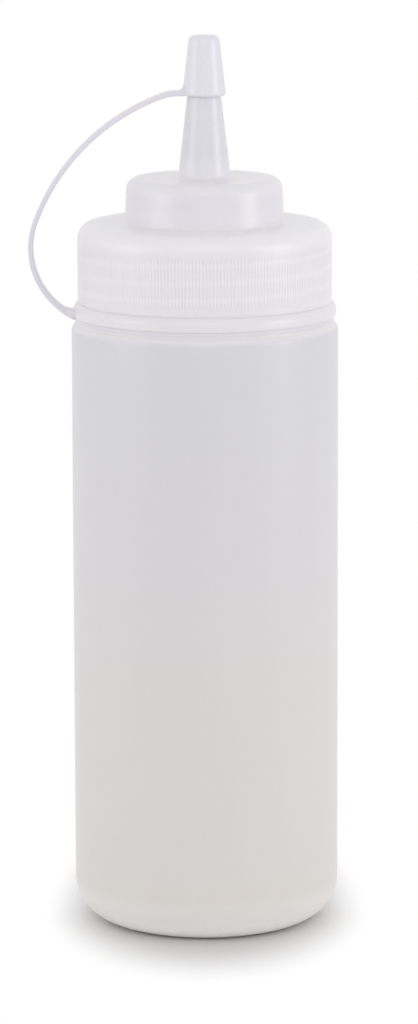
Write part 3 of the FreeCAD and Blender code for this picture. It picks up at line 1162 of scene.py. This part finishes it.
@dataclass
class Studio:
    """Pale floor, soft lamps on both sides and a camera that looks a little down."""

    aim_height: float = 0.10935
    aim_side: float = 0.00093
    distance: float = 1.322
    pitch: float = 0.1805
    roll: float = -0.17
    lens: float = 175.8
    floor_radius: float = 8.0
    # The painted shadow round the foot: where it starts, how it stretches to the back and the front,
    # and how far it reaches.
    foot_radius: float = 0.0237
    backward: float = 0.35
    forward: float = 0.58
    shadow_reach: Point = (0.0018, 0.0205)
    floor_paint: Tint = (0.90, 0.89, 0.89, 1.0)
    # Grey of the painted shadow, seen near the foot.
    painted_shadow_grey: Tint = (0.66, 0.64, 0.63, 1.0)
    world_tint: Tint = (0.97, 0.975, 1.0, 1.0)
    world_level: float = 0.81
    lamp_aim: float = 0.12
    softboxes: tuple[Softbox, ...] = (
        Softbox("right_softbox", azimuth=68.0, height=0.28, away=0.9, size=(0.34, 0.4), power=1.2),
        Softbox("left_softbox", azimuth=-66.0, height=0.28, away=0.9, size=(0.5, 0.4), power=0.9),
        Softbox("front_softbox", azimuth=0.0, height=1.0, away=1.5, size=(0.9, 0.6), power=1.7),
    )

    def camera(self) -> None:
        """Set the camera."""
        data = bpy.data.cameras.new("camera")
        data.lens = self.lens
        data.sensor_width = 36.0
        data.clip_start, data.clip_end = 0.05, 50.0
        camera = linked("camera", data)
        back = Vector((0.0, -math.cos(self.pitch), math.sin(self.pitch)))
        aim = Vector((self.aim_side, 0.0, self.aim_height))
        camera.location = aim + back * self.distance
        turn = back.to_track_quat("Z", "Y").to_matrix().to_4x4()
        lean = Matrix.Rotation(math.radians(self.roll), 4, "Z")
        camera.rotation_euler = (turn @ lean).to_euler()
        bpy.context.scene.camera = camera

    def lamp(self, box: Softbox) -> None:
        """Add a lamp."""
        data = bpy.data.lights.new(box.name, "AREA")
        data.shape = "RECTANGLE"
        data.size, data.size_y = box.size
        data.energy = box.power
        lamp = linked(box.name, data)
        angle = math.radians(box.azimuth)
        lamp.location = (box.away * math.sin(angle), -box.away * math.cos(angle), box.height)
        aim = Vector((0.0, 0.0, self.lamp_aim)) - lamp.location
        lamp.rotation_euler = aim.to_track_quat("-Z", "Y").to_euler()

    def seen(self, shader: Shader) -> Socket:
        """1 for rays that show the background: from the camera, off gloss or through glass."""
        rays = shader.add("ShaderNodeLightPath").outputs
        shown = shader.math("MAXIMUM", rays["Is Camera Ray"], rays["Is Glossy Ray"])
        return shader.math("MAXIMUM", shown, rays["Is Transmission Ray"])

    def world(self) -> None:
        """White surroundings that light the object a little less than they show."""
        world = bpy.data.worlds.new("studio")
        shader = Shader.of(world)
        glow = shader.add("ShaderNodeBackground", {
            "Color": self.world_tint, "Strength": self.world_level,
        })
        shown = shader.add("ShaderNodeBackground", {"Color": WHITE, "Strength": 1.0})
        mixed = shader.add("ShaderNodeMixShader", {0: self.seen(shader), 1: glow, 2: shown})
        shader.add("ShaderNodeOutputWorld", {0: mixed})
        bpy.context.scene.world = world

    def beyond_foot(self, shader: Shader, place: Socket) -> Socket:
        """Distance from the bottle's foot that shapes the painted shadow; it grows more slowly to the
        front and to the back.
        """
        axes = shader.axes(place)
        front = shader.math("MINIMUM", axes["Y"], 0.0)
        behind = shader.math("MAXIMUM", axes["Y"], 0.0)
        depth = shader.math("MULTIPLY_ADD", behind, self.backward, front)
        flat = shader.add("ShaderNodeCombineXYZ", {"X": axes["X"], "Y": depth})
        measure = shader.add("ShaderNodeVectorMath", {0: flat}, operation="LENGTH")
        length = measure.outputs["Value"]
        front = shader.math("DIVIDE", front, length)
        share = shader.math("MULTIPLY", front, front)
        slope = shader.math("SUBTRACT", 1.0, shader.math("MULTIPLY", share, self.forward))
        return shader.math("MULTIPLY", shader.math("SUBTRACT", length, self.foot_radius), slope)

    def floor(self) -> None:
        """White floor that keeps the bottle's shadow, with a painted shadow of grey round the foot that
        fades out to white.
        """
        mesh = bmesh.new()
        bmesh.ops.create_circle(mesh, cap_ends=True, segments=96, radius=self.floor_radius)
        floor = finished("floor", mesh)
        material = bpy.data.materials.new("pale_floor")
        shader = Shader.of(material)
        away = self.beyond_foot(shader, shader.add("ShaderNodeTexCoord").outputs["Object"])
        # From the painted shadow near the foot out to plain white.
        near, far = self.shadow_reach
        clear = shader.add(
            "ShaderNodeMapRange", {"Value": away, "From Min": near, "From Max": far},
            interpolation_type="SMOOTHSTEP",
        )
        paint = shader.add("ShaderNodeBsdfDiffuse", {"Color": self.floor_paint})
        # Painted shadow: grey paint near the foot, under the real shadow.
        painted_shadow = shader.add("ShaderNodeBsdfDiffuse", {"Color": self.painted_shadow_grey})
        white = shader.add("ShaderNodeEmission", {"Color": WHITE, "Strength": 1.0})
        bright = shader.add("ShaderNodeMixShader", {0: clear, 1: painted_shadow, 2: white})
        mixed = shader.add("ShaderNodeMixShader", {0: self.seen(shader), 1: paint, 2: bright})
        shader.add("ShaderNodeOutputMaterial", {0: mixed})
        floor.data.materials.append(material)

    def build(self) -> None:
        """Make the whole studio."""
        self.world()
        for box in self.softboxes:
            self.lamp(box)
        self.floor()
        self.camera()
        bpy.context.scene.view_settings.view_transform = "Standard"


# ---- assembly


def finishes(bottle: Bottle, cap: ScrewCap) -> dict[str, Material]:
    """Make the plastics.

    Args:
        bottle: sizes of the bottle, for its thread.
        cap: sizes of the cap, for where its tint begins and ends.

    Returns:
        Materials by the record's slot, and cap_grip for the fine ribs of the cap_wall slot.
    """
    skin, glow = moulded_skin(), thread_glow()
    thread = bottle.thread
    shown = ThreadShow(
        pitch=thread.pitch * MM, start=(bottle.shoulder + thread.start + thread.pitch / 2) * MM,
        rise=thread.pitch * thread.turns * MM, half_width=1.1 * MM, strength=0.035,
    )
    plastics = {
        "bottle_wall": MilkyPlastic(
            "milky_bottle", cloud=0.03, speckle=0.03, roughness=0.36,
            tints=(
                # Painted light: the base grows paler towards the floor, lifting the shade under the
                # rounded foot; from 12 to 150 mm the body turns from warmer to cooler.
                (0.0, (254, 250, 246)), (3.0, (247, 243, 238)), (6.0, (234, 230, 225)),
                (12.0, (223, 218, 212)), (150.0, (218, 217, 221)),
                # Painted highlight: paler from just below the shoulder up, for the glint on the
                # shoulder's round; this also lifts the shade in the crease under the cap.
                (bottle.shoulder - 1.6, (218, 217, 221)),
                (bottle.shoulder - 0.4, (238, 234, 235)),
            ),
        ),
        "cap_wall": MilkyPlastic(
            "milky_cap", cloud=0.03, speckle=0.04, spots=0.10, thread=shown,
            tints=(
                # Paler on the skirt and ledge than on the tower's wall, and darker up the spout.
                (cap.ledge - 1.0, (238, 235, 236)),
                (cap.ledge + 1.0, (236, 234, 238)),
                (cap.ledge + 6.0, (230, 228, 232)),
                (cap.tower - 0.5, (230, 228, 232)),
                # Painted light: a pale band on the tower's top and the spout's foot, for the light on
                # the top and round the spout's root.
                (cap.tower, (234, 231, 233)),
                (cap.tower + 0.5, (238, 236, 241)),
                (cap.tower + 7.0, (224, 223, 228)),
            ),
        ),
        "cap_grip": MilkyPlastic(
            "milky_ribs", cloud=0.03, speckle=0.03, depth=0.0, thread=shown,
            tints=((0.0, (238, 235, 236)), (1000.0, (238, 235, 236))),
        ),
        "tether": MilkyPlastic(
            "milky_tether", cloud=0.03, speckle=0.02, relief=0.06, depth=0.0,
            tints=(
                (cap.foot + 1.0, (225, 221, 225)),
                (cap.foot + 1.3, (231, 228, 230)),
                (cap.ring_top, (231, 228, 230)),
                (cap.ring_top + 4.0, (228, 227, 233)),
            ),
            strap=StrapShow((225, 222, 230), ring_top=cap.ring_top * MM, ring=0.0352, cup=0.0072),
        ),
    }
    return {slot: plastic.build(skin, glow) for slot, plastic in plastics.items()}


def dress(piece: Piece, node: str) -> None:
    """Let a piece stand for a node of the frame and log it.

    Args:
        piece: the finished piece.
        node: the node that it stands for.
    """
    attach(piece, BODY)
    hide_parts(node)
    LOG.info("%s stands for %s: %d faces", piece.name, node, len(piece.data.polygons))


def main() -> None:
    """Load the frame, build the bottle and its caps around it, and set the studio."""
    logging.basicConfig(level=logging.INFO, format="%(name)s: %(message)s")
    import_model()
    bottle = Bottle()
    cap = ScrewCap(bottle)
    tether = TetherCap(cap)
    materials = finishes(bottle, cap)
    threads, ribs = thread_recipe(), rib_recipe()
    dress(bottle.build(materials["bottle_wall"], threads), "bottle")
    for piece in cap.build(materials["cap_wall"], materials["cap_grip"], threads, ribs):
        dress(piece, "screw_cap")
    dress(tether.build(materials["tether"]), "tether_cap")
    Studio().build()


if __name__ == "__main__":
    main()
